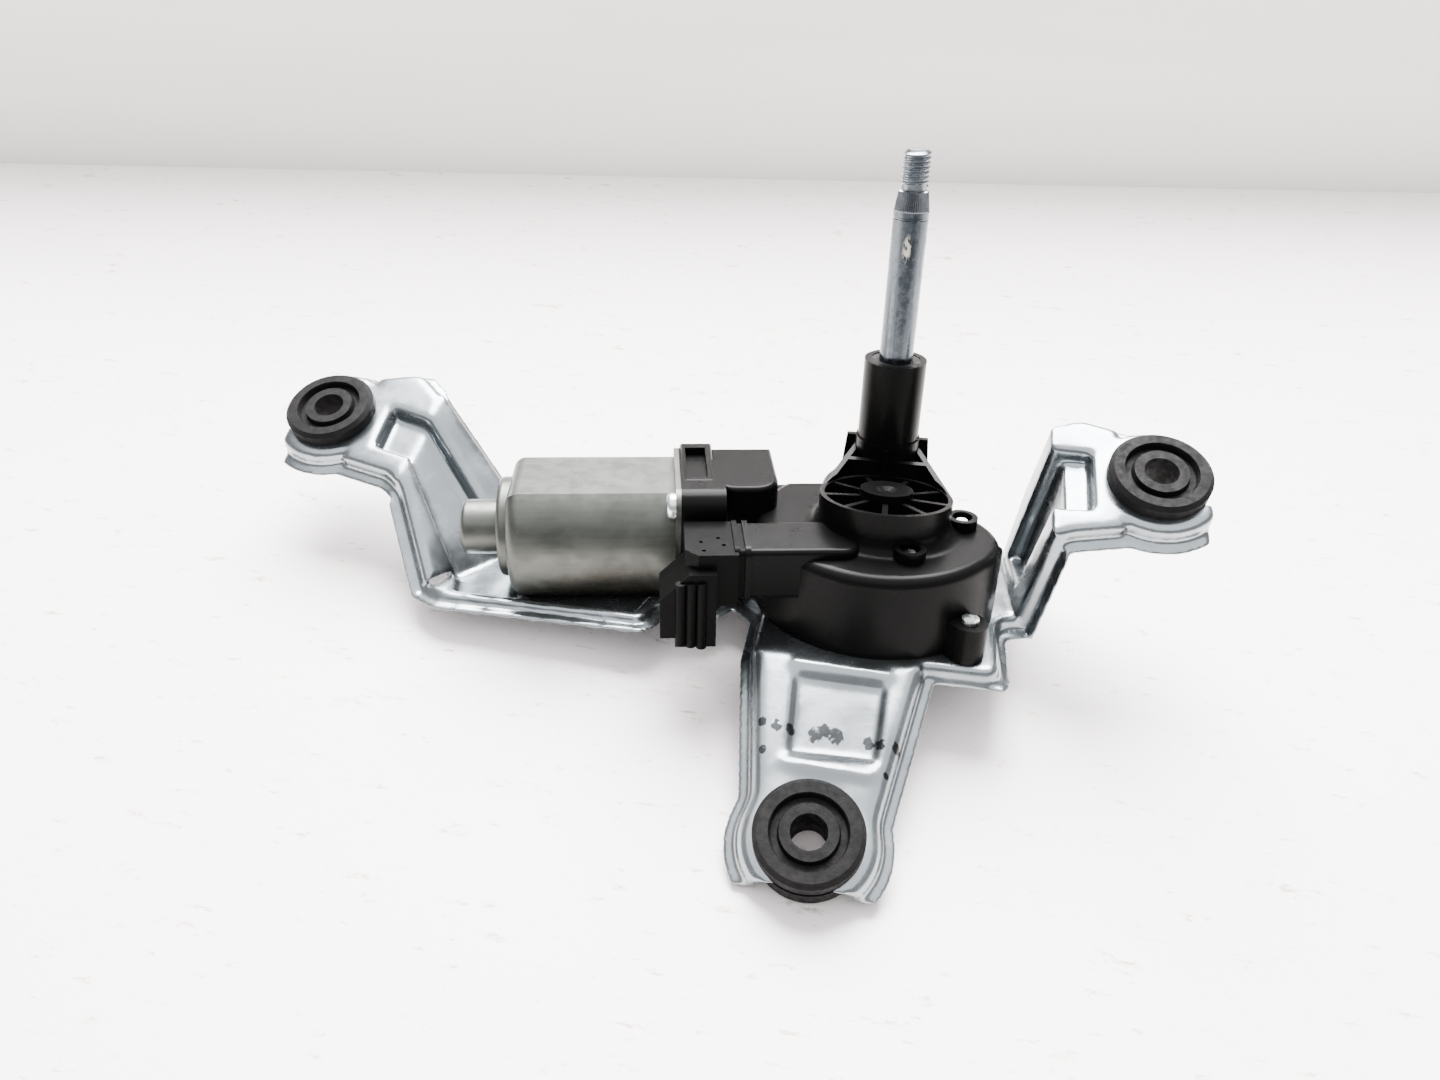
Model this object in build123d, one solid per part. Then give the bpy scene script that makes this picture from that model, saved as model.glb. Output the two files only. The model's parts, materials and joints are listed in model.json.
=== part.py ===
from build123d import *
from math import atan2, cos, degrees, hypot, pi, radians, sin, sqrt, tan
import os

os.makedirs("parts", exist_ok=True)

# Lengths are millimetres. The part is drawn about the output shaft: +Z runs up the shaft from the
# face of the bracket that the gearbox sits on, and +Y points away from the front arm. The finished
# assembly is then laid on the ground, on the front grommet and the rear rim of the bracket.

# Bracket sheet
sheet = 1.5
rim_width = 3.5
panel_depth = 6.5
bead_radius = 1.8
bolt_tilt = 26.4
left_mount = (-182.2, -6.5, 35.2)
right_mount = (77.0, -18.5, 42.7)
front_mount = (-9.8, -110.1, -23.0)
left_foot = (-124.1, -29.0, 0.0)
left_heading, left_slope = -33.4, 46.7
right_foot = (41.8, -10.0, 0.0)
right_heading, right_slope = 183.5, 83.0
tab_radius = 22.0
slot_radius = 10.0
slot_mouth = 14.0
pan_drop = 2.5
emboss_depth = 1.8
arm_bead, arm_waist = 4.0, 8.0
bar_radius, bar_rise = 2.4, 1.0

# Grommets
grommet_radius = 14.25
grommet_bore = 9.5
grommet_top = 4.5
grommet_bottom = 6.4
grommet_clearance = 0.1
sleeve_radius = 7.5
groove_radius = 10.2
groove_depth = 2.2
grommet_edge = 1.2

# Gear train
gear_module = 1.28
pinion_teeth = 16
output_teeth = 24
center_distance = gear_module * (pinion_teeth + output_teeth) / 2
tooth_backlash = 0.3
tooth_gap = 0.35
wheel_teeth = 41
worm_offset = 20.0
worm_height = 13.5
worm_radius = 4.3
wheel_bottom, wheel_top = 10.0, 17.0
pinion_top = 23.0
gear_bottom, gear_top = 18.6, 22.6
wheel_tip = worm_offset - worm_radius - tooth_gap
gear_tip = gear_module * (output_teeth / 2 + 1)
gear_clearance = 0.6
axle_radius = 2.5
running_gap = 0.03
side_gap = 0.3

# Output shaft
shaft_radius = 5.0
shaft_bottom = 18.5
cone_bottom, cone_top = 109.7, 115.1
cone_small_radius = 4.15
thread_radius, thread_root = 4.0, 3.35
thread_bottom, shaft_top = 115.9, 126.0
relief_height = 107.8

# Gear housing
motor_yaw = 13.3
wall = 3.2
drum_radius = 36.6
corner_radius, corner_x, corner_y = 19.7, 15.2, -33.5
nose_radius = 19.2
body_top = 25.5
rear_wall = 27.0
shoulder_radius = 3.0
ceiling = 23.3
tower_radius = 9.3
tower_top = 66.5
collar_radius, collar_top = 9.8, 42.0
ring_spot = (1.1, -29.2)
ring_radius, ring_wall, ring_top, ring_tilt = 19.2, 1.4, 35.2, 8.0
ring_floor = 28.0
ring_flare = 4.2
hub_radius, hub_rise = 7.6, 1.9
spoke_count, spoke_width, spoke_drop = 9, 1.6, 0.4
gusset_floor, gusset_top, gusset_wall = 30.0, 34.5, 1.6
gusset_start, gusset_peak = -24.0, 38.5
centre_rib_top, centre_rib_reach = 41.0, 1.3
fin_thickness, fin_top, fin_reach = 2.0, 40.6, 14.0
cover_thickness = 2.5
gasket_thickness = 0.8
rabbet = 1.4
seat_gap = 0.15
boss_radius, boss_top = 4.5, 28.8
boss_recess = 2.3
column_radius = 4.0
cover_screw_spots = [(9.0, -48.4), (23.8, -25.6)]
cover_screw_radius, cover_head_radius, cover_head_height = 1.6, 3.4, 1.5
ear_radius, ear_top = 5.0, 11.0
ears = [((27.3, -55.0), (19.0, -50.0)), ((27.5, 2.5), (14.0, 1.0)), ((-28.0, 2.8), (-20.0, -6.0))]
screw_radius, screw_tip = 2.4, 1.4
screw_head_radius, screw_head_height = 4.4, 2.6
washer_thickness, washer_radius = 1.0, 5.5

# Bushes and retention of the output shaft
bush_radius, bush_length = 6.5, 12.0
lower_bush_bottom = 24.0
upper_bush_top = 61.0
tower_bore = 5.8
clip_bottom, clip_thickness, clip_radius = 61.6, 1.0, 6.9
clip_groove = 4.4
seal_bottom, seal_top, seal_radius = 63.4, 66.2, 7.4
thrust_washer_thickness, thrust_washer_radius = 0.5, 8.0

# Motor
can_radius, can_flat, can_wall = 22.0, 17.5, 1.4
can_front, can_rear = -60.5, -110.8
can_shoulder = 4.0
cap_radius, cap_rear = 15.5, -114.2
nozzle_radius, nozzle_rear = 8.5, -125.8
nozzle_edge = 1.5
flange_thickness = 1.5
flange_posts = [(-0.5, 30.3, 5.5), (45.0, 6.5, 5.5), (9.5, 32.0, 3.0), (30.5, 32.0, 3.0),
                (12.0, -0.5, 3.0), (28.0, -0.5, 3.0)]
flange_screw_radius, flange_head_radius, flange_head_height = 2.0, 3.85, 2.8
flange_screw_end = -47.0
rotor_radius, rotor_front, rotor_rear = 13.4, -72.0, -104.0
rotor_slots, slot_width, slot_root = 10, 3.0, 7.5
winding_overhang, winding_outer = 4.5, 12.4
magnet_inner, magnet_half_angle = 14.2, 52.0
motor_shaft_radius = 2.5
shaft_rear, shaft_front = -124.0, 16.3
worm_front, worm_rear = 10.0, -10.0
commutator_radius, commutator_front, commutator_rear = 6.0, -48.0, -58.5
brush_start, brush_end, brush_width, brush_height = 6.1, 9.5, 4.6, 5.6
brush_middle = -53.5
spring_radius, spring_end = 1.5, 11.3
holder_rear, holder_front = -49.5, -48.0
holder_bore = 6.6
rear_bearing_front = -118.0
front_bearing_rear, front_bearing_front, front_bearing_radius = -42.0, -36.0, 5.6
end_bearing_rear, end_bearing_front, end_bearing_radius = 11.5, 16.0, 4.0
bearing_clearance = 0.1

# Brush end block, in motor coordinates
block_bottom = 0.5
head_left, head_right, head_front, head_back, head_top = -58.5, -48.5, 4.3, 33.4, 36.0
block_right, block_front, block_top = -29.5, 3.5, 34.0
block_round = 7.5
recess_left, recess_right, recess_front, recess_back, recess_depth = -57.0, -50.8, 7.5, 29.0, 2.5
tunnel_front, tunnel_back, tunnel_bottom, tunnel_top, tunnel_end = 12.0, 27.0, 4.0, 24.0, -5.0
brush_bore = 11.5
tunnel_bore = 5.5

# Electronics spout and plug hood, in motor coordinates
spout_front, spout_back = -25.0, -7.0
spout_bottom, spout_top = 13.0, 28.5
spout_left, spout_right = -42.0, -10.0
spout_edge = 1.5
spout_wall = 1.6
collar_length, collar_rise, collar_width = 3.0, 0.9, 1.5
spout_nose = 5.0
plug_left, plug_front, plug_back = -58.5, -27.0, -7.0
hood_top = 24.0
plug_corner = 3.5
hood_left, hood_right, hood_front, hood_back = -65.5, -50.0, -30.0, -14.5
hood_bottom, hood_step = 1.0, 4.0
hood_wall = 1.5
hood_slant = 8.0
rib_start, rib_pitch, rib_radius, rib_top = 5.6, 2.9, 1.45, 21.5
vent_radius, vent_depth = 0.6, 1.5
vent_spots = [(-54.0, -19.2), (-47.8, -21.1), (-53.4, -24.2), (-49.2, -17.0)]
cavity_low, cavity_high = 12.5, 18.5
board_height, board_thickness, board_right = 20.0, 1.6, -21.0
terminal_size = 0.8
terminal_spots = [(-54.5, -22.3 + pitch) for pitch in (-3.6, -1.2, 1.2, 3.6)]
terminal_bottom, terminal_top = 6.0, 24.5


def at_motor(x, y, z):
    """Location given along the motor: x on the armature's axis, y from the worm wheel's axis."""
    return Location((0, -center_distance, 0), (0, 0, motor_yaw)) * Pos(x, y, z)


def along_motor(x, y, z):
    """The same place, turned so that local Z points along the armature towards the gears."""
    return at_motor(x, y, z) * Rot(0, 90, 0)


def top_edges(solid, height):
    return [edge for edge in solid.edges() if all(abs(v.Z - height) < 1e-4 for v in edge.vertices())
            and abs(edge.center().Z - height) < 1e-4]


def tube(outer, inner, bottom, top):
    ring = Circle(outer) - Circle(inner)
    return Pos(0, 0, bottom) * extrude(ring, amount=top - bottom)


def rod(radius, bottom, top):
    return Pos(0, 0, bottom) * extrude(Circle(radius), amount=top - bottom)


def slab(x_from, x_to, y_from, y_to, z_from, z_to):
    shape = Box(x_to - x_from, y_to - y_from, z_to - z_from, align=(Align.MIN,) * 3)
    return Pos(x_from, y_from, z_from) * shape


# Bracket

bolt_axis = Vector(0, -sin(radians(bolt_tilt)), cos(radians(bolt_tilt)))


def tab_plane(spot):
    return Plane(origin=spot, x_dir=(1, 0, 0), z_dir=bolt_axis)


def flank_plane(foot, heading, slope):
    turn, lean = radians(heading), radians(slope)
    normal = (sin(lean) * cos(turn), sin(lean) * sin(turn), cos(lean))
    return Plane(origin=foot, x_dir=(-sin(turn), cos(turn), 0), z_dir=normal)


def bend_plane(first, second):
    """The plane through the crease of two panels, which halves the angle between them."""
    a, b = first.z_dir, second.z_dir
    crease = a.cross(b)
    spot = (b.cross(crease) * a.dot(first.origin) + crease.cross(a) * b.dot(second.origin))
    spot = spot * (1 / crease.dot(crease))
    return Plane(origin=spot, x_dir=crease.normalized(), z_dir=(a + b).cross(crease).normalized())


def keep_side(solid, plane, spot):
    above = plane.z_dir.dot(Vector(*spot) - plane.origin) > 0
    return split(solid, bisect_by=plane, keep=Keep.TOP if above else Keep.BOTTOM)


def outline(points, corners=(), inset=0.0):
    turns = sum(a[0] * b[1] - b[0] * a[1] for a, b in zip(points, points[1:] + points[:1]))
    shape = Polygon(*(points if turns > 0 else points[::-1]), align=None)
    for spot, radius in corners:
        shape = fillet(shape.vertices().sort_by_distance((*spot, 0))[0], radius)
    return offset(shape, amount=-inset, kind=Kind.INTERSECTION) if inset else shape


base_panel = Plane.XY
left_flank = flank_plane(left_foot, left_heading, left_slope)
right_flank = flank_plane(right_foot, right_heading, right_slope)
left_tab, right_tab, front_tab = tab_plane(left_mount), tab_plane(right_mount), tab_plane(front_mount)
left_bend, left_tab_bend = bend_plane(base_panel, left_flank), bend_plane(left_flank, left_tab)
right_bend, right_tab_bend = bend_plane(base_panel, right_flank), bend_plane(right_flank, right_tab)
front_bend = bend_plane(base_panel, front_tab)
left_middle, right_middle = (-138, -12, 18), (44, -10, 20)

# Each panel: its plane, outline, pockets pressed down to the level of the rim, bends, the open end
# of a fork, and the level of its beads. The front arm also has a shallow embossed field.
panels = [
    dict(plane=base_panel, top=0.0, bends=[(right_bend, (0, -30, 0)), (front_bend, (0, -30, 0))],
         outline=[(-35.4, -80), (19.6, -80), (19.6, -65), (40.5, -65), (40.7, -35.5), (60, -28.5),
                  (60, 12.5), (-34, 12.5), (-41.5, 0), (-41.5, -36), (-35.4, -41.5)],
         corners=[((40.5, -65), 8), ((40.7, -35.5), 3), ((-34, 12.5), 6)], pockets=[]),
    dict(plane=base_panel, top=-pan_drop, bends=[(left_bend, (-60, -30, 0))],
         outline=[(-131.5, -53.8), (-63.5, -53.8), (-61, -42.8), (-46, -42.8), (-38, -31), (-20, -31),
                  (-20, 12.5), (-40, 12.5), (-108, -6.6), (-143, 16), (-175, -30)],
         corners=[((-131.5, -53.8), 12), ((-63.5, -53.8), 7), ((-61, -42.8), 3.2), ((-108, -6.6), 6)],
         pockets=[[(-127, -46.2), (-70, -46.2), (-67.5, -35.5), (-51, -35.5), (-51, 1.8),
                   (-106, -14.2), (-112.5, -15.6), (-118.5, -22), (-182, 29), (-187, 9), (-129.2, -38.5)]]),
    dict(plane=left_flank, top=0.0, bends=[(left_bend, left_middle), (left_tab_bend, left_middle)],
         outline=[(-27.8, -10), (28, -10), (18.3, 68), (-17.5, 68), (-17.5, 30)], corners=[],
         pockets=[[(-12.5, -20), (10.2, -20), (3.8, 90), (-0.3, 90)]]),
    dict(plane=right_flank, top=0.0, bends=[(right_bend, right_middle), (right_tab_bend, right_middle)],
         outline=[(22.4, -10), (38.4, 60), (-8, 60), (-17.5, 28), (-22.4, -10)], corners=[],
         pockets=[[(9, 4), (36.2, 90), (11.1, 90), (-9, 4)]]),
    dict(plane=left_tab, top=0.0, bends=[(left_tab_bend, left_mount)], end=(-13.0, 0), round=True,
         outline=[(6, -20.6), (24, -24.8), (29.8, -28.9), (46, -40), (46, 6), (33.8, 17.2),
                  (26, 24.3), (20, 24.2), (6, 21)], corners=[],
         pockets=[[(19, -11), (60, -22.7), (60, -6.8), (19, 4.6)]]),
    dict(plane=right_tab, top=0.0, bends=[(right_tab_bend, right_mount)], end=(14.5, 0), round=True,
         outline=[(-6, -20.6), (-22, -24.2), (-44, -33), (-44, 17), (-27.3, 22.6), (-20, 25.2),
                  (-6, 21.2)], corners=[],
         pockets=[[(-18, -12), (-60, -14), (-60, 9), (-18, 8)]]),
    dict(plane=front_tab, top=0.0, bends=[(front_bend, front_mount)], end=(0, -12.5), round=True,
         outline=[(-18.5, 0), (-27.3, 63), (31.7, 63), (19.7, 0)], corners=[], pockets=[],
         bead=arm_bead, waist=arm_waist, emboss=[(-9.7, 46.5), (-8.7, 21.6), (15.6, 22.0), (16.6, 46)],
         bars=[((-9.2, 49.2), (16.2, 48.4)), ((-8.3, 19.2), (13.4, 18.6))]),
]


def panel_shape(panel, inset):
    if "waist" in panel:
        shape = outline(panel["outline"], panel["corners"]) + Circle(tab_radius)
        waists = [v for v in shape.vertices() if abs(hypot(v.X, v.Y) - tab_radius) < 0.01 and v.Y > 0]
        shape = fillet(waists, panel["waist"])
        return offset(shape, amount=-inset) if inset else shape
    shape = outline(panel["outline"], panel["corners"], inset)
    return shape + Circle(tab_radius - inset) if "round" in panel else shape


def raised_bar(start, end, radius):
    """A rounded bar between two points, which stands above the level z = 0 of its panel."""
    (x0, y0), (x1, y1) = start, end
    length = hypot(x1 - x0, y1 - y0)
    bar = Rot(0, 90, 0) * Cylinder(radius, length) + [Pos(side * length / 2, 0, 0) * Sphere(radius)
                                                      for side in (-1, 1)]
    turned = Rot(0, 0, degrees(atan2(y1 - y0, x1 - x0))) * bar
    return Pos((x0 + x1) / 2, (y0 + y1) / 2, bar_rise - bar_radius) * turned


def trim_panel(panel, solid):
    plane = panel["plane"]
    for bend, spot in panel["bends"]:
        solid = keep_side(solid, bend, spot)
    if "end" in panel:
        step = plane.x_dir * panel["end"][0] + plane.y_dir * panel["end"][1]
        solid = keep_side(solid, Plane(origin=plane.origin + step, z_dir=step.normalized()), plane.origin)
    return solid


def panel_block(panel, thickness, radius=0):
    """One panel as a solid block, with its beads rounded and a sheet thickness taken off all round."""
    top, bottom = panel["top"] - thickness, -panel_depth - thickness
    block = extrude(Pos(0, 0, bottom) * panel_shape(panel, rim_width + thickness), amount=top - bottom)
    for points in panel["pockets"]:
        pocket = outline(points, inset=-thickness)
        block -= extrude(Pos(0, 0, top) * pocket, amount=sheet - panel_depth - panel["top"])
    block = fillet(top_edges(block, top), radius) if radius else block
    if "emboss" in panel:
        field = outline(panel["emboss"], inset=-thickness)
        block -= extrude(Pos(0, 0, top) * field, amount=-emboss_depth, taper=40)
        block += [raised_bar(*bar, bar_radius - thickness) for bar in panel["bars"]]
    return trim_panel(panel, panel["plane"].location * block)


def panel_rim(panel):
    """The flat rim round a panel, level with the floor of its deep pockets."""
    beside = [other for other in panels if other["plane"] is panel["plane"]]
    ring = panel_shape(panel, 0) - [panel_shape(other, rim_width + sheet / 2) for other in beside]
    solid = extrude(Pos(0, 0, -panel_depth) * ring, amount=sheet)
    return trim_panel(panel, panel["plane"].location * solid)


def fork_slot(plane, toward_x, toward_y):
    mouth = slab(0, 2 * tab_radius, -slot_mouth / 2, slot_mouth / 2, -2 * panel_depth, panel_depth)
    turned = Rot(0, 0, degrees(atan2(toward_y, toward_x))) * mouth
    return plane.location * (rod(slot_radius, -2 * panel_depth, panel_depth) + turned)


def make_bracket():
    outer = Part() + [panel_block(panel, 0, panel.get("bead", bead_radius)) for panel in panels]
    inner = Part() + [panel_block(panel, sheet, panel.get("bead", sheet) - sheet) for panel in panels]
    body = outer - inner + [panel_rim(panel) for panel in panels]
    for panel, (x, y) in zip([left_tab, right_tab, front_tab], [(-1, 0), (1, 0), (0, -1)]):
        body -= fork_slot(panel, x, y)
    for (x, y), _ in ears:
        body -= Pos(x, y, 0) * rod(screw_radius + seat_gap, -panel_depth, 1)
    return body


# Grommets

def make_grommet(plane):
    """A rubber bush with a waist in the fork's slot and a raised sleeve inside its upper groove."""
    edge = grommet_edge
    waist = slot_radius - grommet_clearance
    low = -sheet - grommet_bottom
    profile = Polygon((grommet_bore / 2, low), (grommet_radius - edge, low), (grommet_radius, low + edge),
                      (grommet_radius, -sheet), (waist, -sheet), (waist, 0), (grommet_radius, 0),
                      (grommet_radius, grommet_top - edge), (grommet_radius - edge, grommet_top),
                      (groove_radius, grommet_top), (groove_radius - 0.6, grommet_top - groove_depth),
                      (sleeve_radius + 0.5, grommet_top - groove_depth), (sleeve_radius, grommet_top - 0.4),
                      (grommet_bore / 2, grommet_top - 0.4), align=None)
    return plane.location * revolve(Plane.XZ * profile, Axis.Z)


# Gears

def involute_gear(module, teeth, thickness, bore, backlash=tooth_backlash, turn=0.0):
    """A spur gear with involute flanks, drawn as one outline of flank curves and tip arcs."""
    pitch = module * teeth / 2
    tip, root = pitch + module, pitch - 1.25 * module
    base = pitch * cos(radians(20))
    start = max(base, root + 0.05 * module)
    half_tooth = (pi * module / 2 - backlash) / (2 * pitch)
    pitch_roll = sqrt((pitch / base) ** 2 - 1)

    def flank(radius, side, middle):
        roll = sqrt(max((radius / base) ** 2 - 1, 0))
        angle = half_tooth + (pitch_roll - pi / 9) - (roll - atan2(roll, 1))
        return (radius * cos(middle + side * angle), radius * sin(middle + side * angle))

    edges = []
    for tooth in range(teeth):
        middle = 2 * pi * tooth / teeth
        after = middle + pi / teeth
        radii = [start, (start + tip) / 2, tip]
        rise = [flank(radius, -1, middle) for radius in radii]
        fall = [flank(radius, 1, middle) for radius in reversed(radii)]
        onward = flank(start, -1, middle + 2 * pi / teeth)
        edges += [ThreePointArc(*rise), ThreePointArc(rise[-1], (tip * cos(middle), tip * sin(middle)), fall[0]),
                  ThreePointArc(*fall), ThreePointArc(fall[-1], (root * cos(after), root * sin(after)), onward)]
    face = make_face(edges) - Circle(bore)
    return Rot(0, 0, turn) * extrude(face, amount=thickness)


def make_wheel():
    """The worm wheel and the pinion moulded on top of it, about the wheel's axle."""
    bore = axle_radius + running_gap
    module = 2 * wheel_tip / (wheel_teeth + 2)
    wheel = Pos(0, 0, wheel_bottom) * involute_gear(module, wheel_teeth, wheel_top - wheel_bottom, bore, 0.1)
    wheel -= Pos(0, 0, wheel_bottom) * tube(0.8 * wheel_tip, hub_radius, 0, 2)
    pinion = Pos(0, 0, wheel_top) * involute_gear(gear_module, pinion_teeth, pinion_top - wheel_top, bore)
    hub = tube(hub_radius, bore, cover_thickness + washer_thickness + side_gap, wheel_bottom)
    return Pos(0, -center_distance, 0) * (wheel + pinion + hub)


# Gear housing

def body_outline(inset=0.0):
    """The gear space seen from above: wheel drum, front corner, flat rear wall and shaft nose."""
    drum = Pos(0, -center_distance) * Circle(drum_radius - inset)
    reach = 2 * drum_radius
    drum -= Pos(corner_x - inset, corner_y) * Rectangle(reach, reach, align=Align.MIN)
    drum += Pos(corner_x, corner_y) * Circle(corner_radius - inset)
    flat = Pos(-reach, rear_wall - inset) * Rectangle(reach - 8, reach, align=Align.MIN)
    return drum - at_motor(0, 0, 0) * flat + Circle(nose_radius - inset)


def hull_between(circles, bottom, top):
    edges = [edge for x, y, radius in circles for edge in (Pos(x, y) * Circle(radius)).edges()]
    return Pos(0, 0, bottom) * extrude(make_hull(edges), amount=top - bottom)


def level_cut(solid, height):
    """Cut a solid of the ring flat along a plane that leans back by the ring's tilt."""
    face = Plane(origin=(0, 0, height), z_dir=(0, sin(radians(ring_tilt)), cos(radians(ring_tilt))))
    return split(solid, bisect_by=face, keep=Keep.BOTTOM)


def make_ring():
    """The spoked ring over the gears, and the webs and wall that rise from it to the tower."""
    highest = ring_top + 2 * hub_rise + ring_radius * sin(radians(ring_tilt))
    outer = [(*ring_spot, ring_radius), (0, 0, tower_radius)]
    inner = [(x, y, radius - gusset_wall) for x, y, radius in outer]
    slope = Plane(origin=(0, gusset_start, gusset_top), x_dir=(1, 0, 0),
                  z_dir=(0, gusset_top - gusset_peak, -gusset_start))
    hollow = hull_between(inner, gusset_floor, highest)
    hollow -= slab(-ring_radius, ring_radius, -collar_radius, gusset_wall - collar_radius, gusset_floor, highest)
    webs = split(hull_between(outer, ceiling, gusset_peak) - hollow, bisect_by=slope, keep=Keep.BOTTOM)
    rim = level_cut(rod(ring_radius, ceiling, highest) - rod(ring_radius - ring_wall, ring_floor, highest), ring_top)
    dimple = Cone(1.2, 4.4, 2.0, align=(Align.CENTER, Align.CENTER, Align.MAX))
    hub = rod(hub_radius, ring_floor, highest) - Pos(0, 0, ring_top + hub_rise + 0.8) * dimple
    rim += level_cut(hub, ring_top + hub_rise)
    for spoke in range(spoke_count):
        arm = slab(hub_radius - 1, ring_radius - ring_wall / 2, -spoke_width / 2, spoke_width / 2,
                   ring_floor, highest)
        rim += level_cut(Rot(0, 0, 360 * spoke / spoke_count - 90) * arm, ring_top - spoke_drop)
    foot, reach = body_top + ring_flare, ring_radius + ring_flare
    middle = reach - ring_flare * cos(pi / 4), body_top + ring_flare * (1 - sin(pi / 4))
    curve = ThreePointArc((ring_radius, foot), middle, (reach, body_top))
    section = make_face(curve + Polyline((reach, body_top), (ring_radius - ring_wall, body_top),
                                         (ring_radius - ring_wall, foot), (ring_radius, foot)))
    rim += revolve(Plane.XZ * section, Axis.Z)
    place = Pos(*ring_spot, 0)
    rib = slab(-spoke_width / 2, spoke_width / 2, -collar_radius - centre_rib_reach, 0, gusset_floor, centre_rib_top)
    return webs - place * rod(ring_radius - ring_wall / 2, ring_floor, highest) + place * rim + rib


def make_tower():
    tower = rod(tower_radius, ceiling, tower_top) + rod(collar_radius, ceiling, collar_top)
    fin = Polygon((0, body_top), (fin_reach, body_top), (fin_reach - 1.4, fin_top), (0, fin_top), align=None)
    for side in (0, 1):
        plate = Pos(0, 3.5, 0) * extrude(Plane.XZ * fin, amount=fin_thickness)
        tower += mirror(plate, Plane.YZ) if side else plate
    return tower


def make_end_block():
    """The black end of the motor: flange, brush space, screw barrel and worm tunnel."""
    head = slab(head_left, head_right, head_front, head_back, block_bottom, head_top)
    head = fillet(top_edges(head, head_top), 1.5)
    recess = slab(recess_left, recess_right, recess_front, recess_back, head_top - recess_depth, head_top)
    body = slab(head_right - 1, block_right, block_front, head_back, block_bottom, block_top)
    corners = body.edges().filter_by(Axis.Z)
    body = fillet(corners.group_by(Axis.Y)[0], block_round)
    body = fillet(top_edges(body, block_top), 1.5)
    tunnel = slab(block_right - 1, tunnel_end, tunnel_front, tunnel_back, tunnel_bottom, tunnel_top)
    block = at_motor(0, 0, 0) * (head + body + tunnel)
    plate = along_motor(can_front + flange_thickness, 0, 0) * flange_sketch()
    block += extrude(plate, amount=flange_thickness)
    for y, z, radius in flange_posts[:2]:
        boss = Pos(-z, y) * Circle(radius)
        root = Pos(-z, 20 + 0.5 * (y - 20)) * Rectangle(2 * radius, abs(y - 20))
        block += extrude(along_motor(can_front + flange_thickness, 0, 0) * (boss + root), amount=13)
    return block - at_motor(0, 0, 0) * recess


def flange_sketch():
    """The rounded diamond of the motor's flange, with local X pointing down and local Y across."""
    edges = [edge for y, z, radius in flange_posts for edge in (Pos(-z, y) * Circle(radius)).edges()]
    return make_hull(edges)


def motor_bore(radius, start, end):
    return along_motor(start, worm_offset, worm_height) * rod(radius, 0, end - start)


def make_spout():
    box = slab(spout_left, spout_right, spout_front, spout_back, spout_bottom, spout_top)
    box = fillet(box.edges().filter_by(Axis.Z).group_by(Axis.X)[-1].sort_by(Axis.Y)[0], spout_nose)
    bottom_edges = box.edges().filter_by(Axis.X).group_by(Axis.Z)[0]
    box = fillet(bottom_edges + top_edges(box, spout_top), spout_edge)
    box = split(box, bisect_by=Plane.YZ.offset(spout_left), keep=Keep.TOP)
    return at_motor(0, 0, 0) * (box + make_collar(spout_left, spout_left + collar_width))


def spout_space():
    return at_motor(0, 0, 0) * slab(spout_left - 1, board_right + 3, spout_front + spout_wall,
                                    spout_back - spout_wall, spout_bottom + spout_wall,
                                    spout_top - spout_wall)


def make_ear(ear):
    (x, y), (root_x, root_y) = ear
    return hull_between([(x, y, ear_radius), (root_x, root_y, ear_radius / 2)], 0, ear_top)


def make_gear_housing():
    shell = extrude(body_outline(), amount=body_top)
    shell = fillet(top_edges(shell, body_top), shoulder_radius)
    shell += [make_ring(), make_tower(), make_end_block(), make_spout()]
    shell += [make_ear(ear) for ear in ears]
    for x, y in cover_screw_spots:
        shell += Pos(x, y, 0) * rod(boss_radius, ceiling, boss_top)
    shell -= extrude(body_outline(rabbet), amount=cover_thickness + gasket_thickness)
    seat = cover_thickness + gasket_thickness
    space = Pos(0, 0, seat) * extrude(body_outline(wall), amount=ceiling - seat)
    for x, y in cover_screw_spots:
        space -= Pos(x, y, 0) * rod(column_radius, seat, ceiling)
    pedestal = slab(end_bearing_rear - 0.5, worm_front + nose_radius, worm_offset - end_bearing_radius - 2,
                    worm_offset + end_bearing_radius + 2, worm_height - end_bearing_radius - 2,
                    gear_bottom - side_gap)
    space += Pos(0, -center_distance, 0) * rod(wheel_tip + gear_clearance, seat, wheel_top)
    space += rod(gear_tip + gear_clearance, gear_bottom - gear_clearance, ceiling)
    space -= at_motor(0, 0, 0) * pedestal
    shell -= space + spout_space()
    shell -= motor_bore(brush_bore, can_front, front_bearing_rear)
    shell -= motor_bore(front_bearing_radius, front_bearing_rear, front_bearing_front)
    shell -= motor_bore(front_bearing_radius - 0.8, front_bearing_front, block_right + 1)
    shell -= motor_bore(tunnel_bore, block_right, 0)
    shell -= motor_bore(end_bearing_radius, end_bearing_rear - 1, end_bearing_front + 1)
    shell -= rod(bush_radius, ceiling, lower_bush_bottom + bush_length)
    shell -= rod(tower_bore, ceiling, tower_top)
    shell -= rod(bush_radius, upper_bush_top - bush_length, upper_bush_top)
    shell -= rod(seal_radius, upper_bush_top, tower_top)
    shell -= Pos(0, -center_distance, 0) * rod(axle_radius, ceiling, axle_top)
    for x, y in cover_screw_spots:
        shell -= Pos(x, y, 0) * rod(cover_screw_radius + seat_gap, 0, boss_top)
        shell -= Pos(x, y, 0) * rod(boss_radius - spout_wall, boss_top - boss_recess, boss_top)
    for (x, y), _ in ears:
        shell -= Pos(x, y, 0) * rod(screw_radius + seat_gap, 0, ear_top)
    for y, z, _ in flange_posts[:2]:
        hole = rod(flange_screw_radius + seat_gap, 0, flange_screw_end - can_front + 1)
        shell -= along_motor(can_front, y, z) * hole
    return shell


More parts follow.
